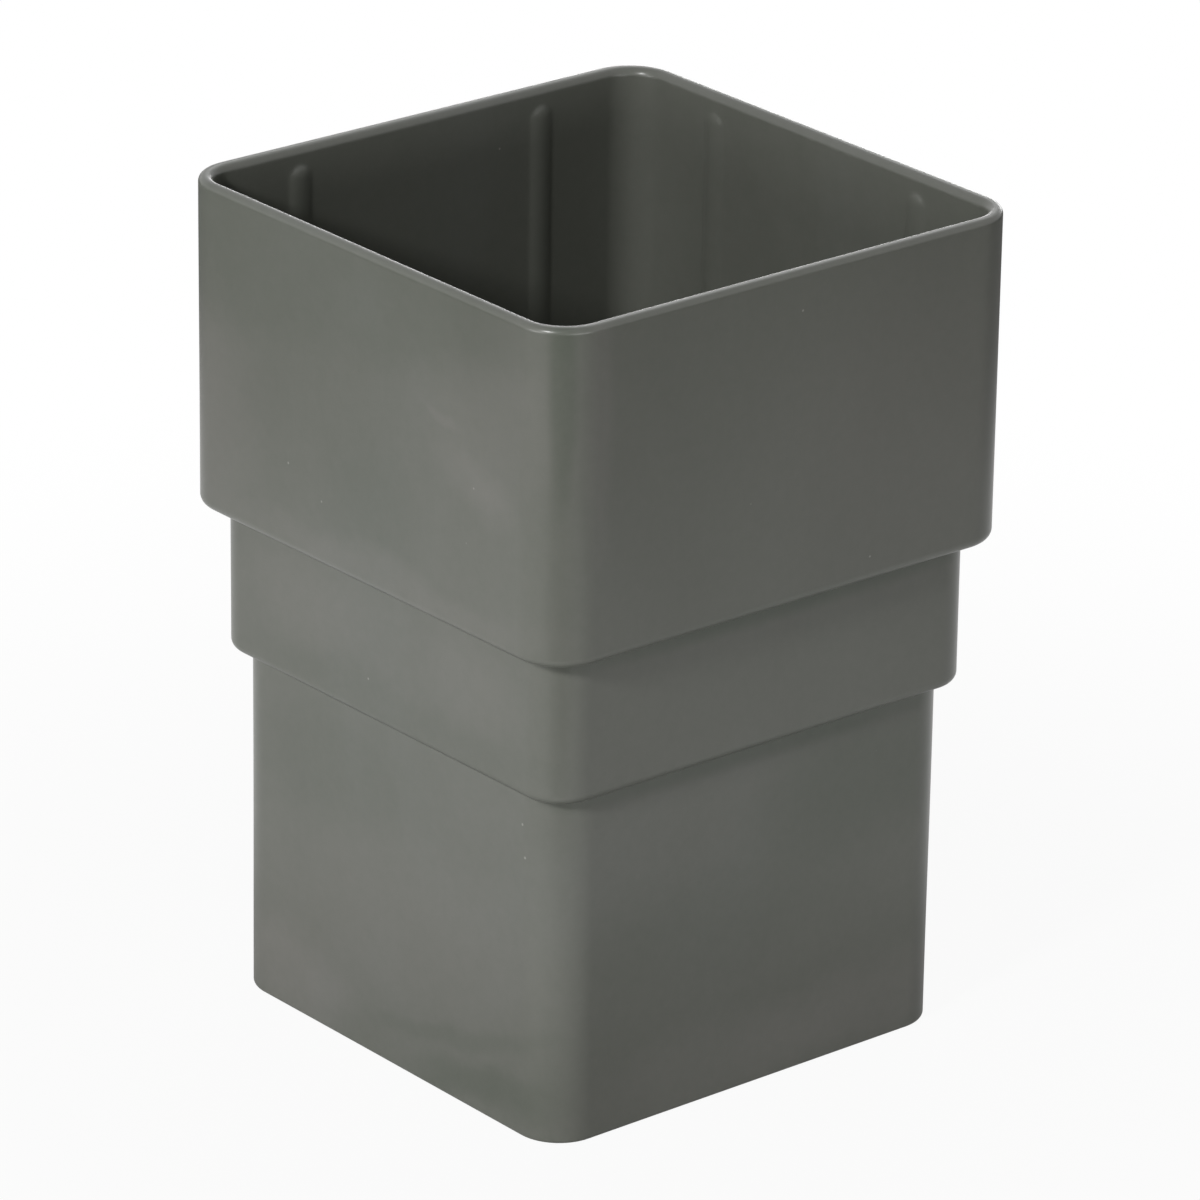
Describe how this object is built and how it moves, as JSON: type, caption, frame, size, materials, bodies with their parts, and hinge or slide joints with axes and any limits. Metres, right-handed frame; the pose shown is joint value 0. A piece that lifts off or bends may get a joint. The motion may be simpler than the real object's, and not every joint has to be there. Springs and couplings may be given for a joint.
{
  "type": "downpipe socket",
  "caption": "Square rainwater pipe socket: a ribbed mouth with a rounded rim steps in to a collar and again to a plain spigot, open right through.",
  "frame": {"origin": "centre of the square spigot end, on the plane that the socket stands on", "axes": "+Z along the pipe, from the spigot end up to the wide mouth; X and Y square to the side walls"},
  "size_m": [0.0708, 0.0708, 0.1045],
  "materials": {
    "pvcu_moulding": "satin moulded PVC-U, olive grey"
  },
  "bodies": {
    "root": {"downpipe_socket": "pvcu_moulding"}
  },
  "joints": []
}
